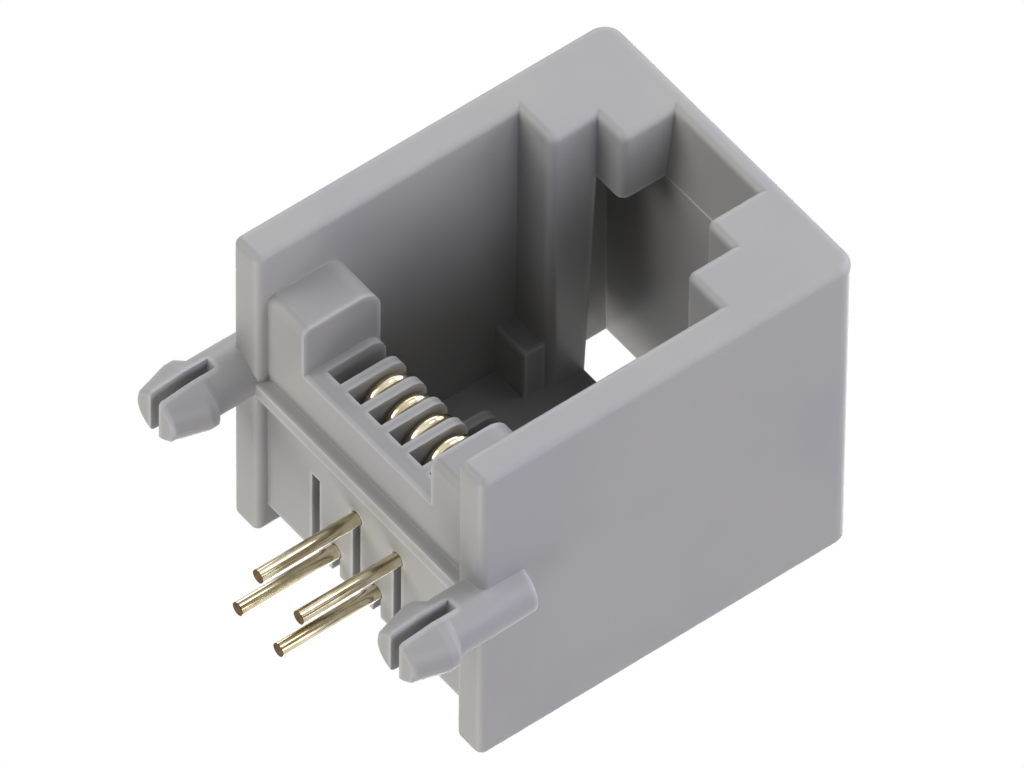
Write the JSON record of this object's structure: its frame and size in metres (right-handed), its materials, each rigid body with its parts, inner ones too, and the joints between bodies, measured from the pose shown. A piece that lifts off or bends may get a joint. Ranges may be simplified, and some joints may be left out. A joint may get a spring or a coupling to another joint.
{
  "type": "modular jack",
  "caption": "Side-entry modular jack for a circuit board: moulded housing with latch slot and split pegs, round wire contacts bent over a front comb.",
  "frame": {"origin": "midway between the two board pegs, on the plane of the board", "axes": "+Z away from the board, +Y the way the plug goes in (the mouth faces -Y), +X to the right seen from the mouth"},
  "size_m": [0.0146, 0.013, 0.018],
  "materials": {
    "housing_plastic": "light grey moulded plastic, satin",
    "contact_wire": "gold-flashed drawn wire, bright"
  },
  "bodies": {
    "root": {"housing": "housing_plastic", "contact_2": "contact_wire", "contact_3": "contact_wire", "contact_4": "contact_wire", "contact_5": "contact_wire"}
  },
  "joints": []
}
